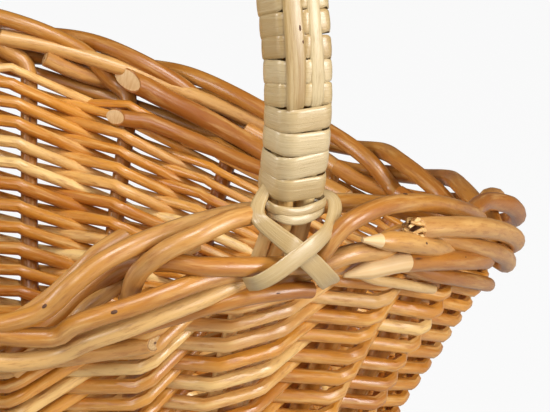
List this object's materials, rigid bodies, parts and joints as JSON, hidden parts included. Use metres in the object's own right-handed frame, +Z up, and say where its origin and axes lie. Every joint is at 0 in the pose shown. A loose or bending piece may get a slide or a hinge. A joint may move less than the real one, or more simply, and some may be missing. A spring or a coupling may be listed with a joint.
{
  "type": "knitting basket",
  "caption": "Round wicker knitting basket with a dipping woven rim and a fixed bow handle wrapped in pale split willow.",
  "frame": {"origin": "on the ground under the middle of the base", "axes": "+Z up; the handle stands in the YZ plane with its front foot at -Y; the dipped sides of the rim are at +X and -X"},
  "size_m": [0.3252, 0.3376, 0.3619],
  "materials": {
    "stake_willow": "satin",
    "weave_willow": "satin",
    "base_willow": "satin",
    "bow_willow": "satin",
    "peeled_skein": "satin"
  },
  "bodies": {
    "root": {"foot_ring": "base_willow", "base_sticks": "base_willow", "base_weaver_a": "base_willow", "base_weaver_b": "base_willow", "stake_01": "stake_willow", "stake_02": "stake_willow", "stake_03": "stake_willow", "stake_04": "stake_willow", "stake_05": "stake_willow", "stake_06": "stake_willow", "stake_07": "stake_willow", "stake_08": "stake_willow", "stake_09": "stake_willow", "stake_10": "stake_willow", "stake_11": "stake_willow", "stake_12": "stake_willow", "stake_13": "stake_willow", "stake_14": "stake_willow", "stake_15": "stake_willow", "stake_16": "stake_willow", "stake_17": "stake_willow", "stake_18": "stake_willow", "stake_19": "stake_willow", "stake_20": "stake_willow", "stake_21": "stake_willow", "stake_22": "stake_willow", "stake_23": "stake_willow", "stake_24": "stake_willow", "weaver_01": "weave_willow", "weaver_02": "weave_willow", "weaver_03": "weave_willow", "weaver_04": "weave_willow", "weaver_05": "weave_willow", "weaver_06": "weave_willow", "weaver_07": "weave_willow", "weaver_08": "weave_willow", "weaver_09": "weave_willow", "weaver_10": "weave_willow", "weaver_11": "weave_willow", "weaver_12": "weave_willow", "weaver_13": "weave_willow", "weaver_14": "weave_willow", "weaver_15": "weave_willow", "weaver_16": "weave_willow", "weaver_17": "weave_willow", "weaver_18": "weave_willow", "weaver_19": "weave_willow", "weaver_20": "weave_willow", "weaver_21": "weave_willow", "weaver_22": "weave_willow", "weaver_23": "weave_willow", "weaver_24": "weave_willow", "handle_bow": "bow_willow", "handle_wrap_front": "peeled_skein", "handle_wrap_back": "peeled_skein", "handle_wrap_top": "peeled_skein", "leader_broad": "peeled_skein", "leader_narrow": "peeled_skein", "handle_tie_front": "peeled_skein", "handle_tie_back": "peeled_skein"}
  },
  "joints": []
}
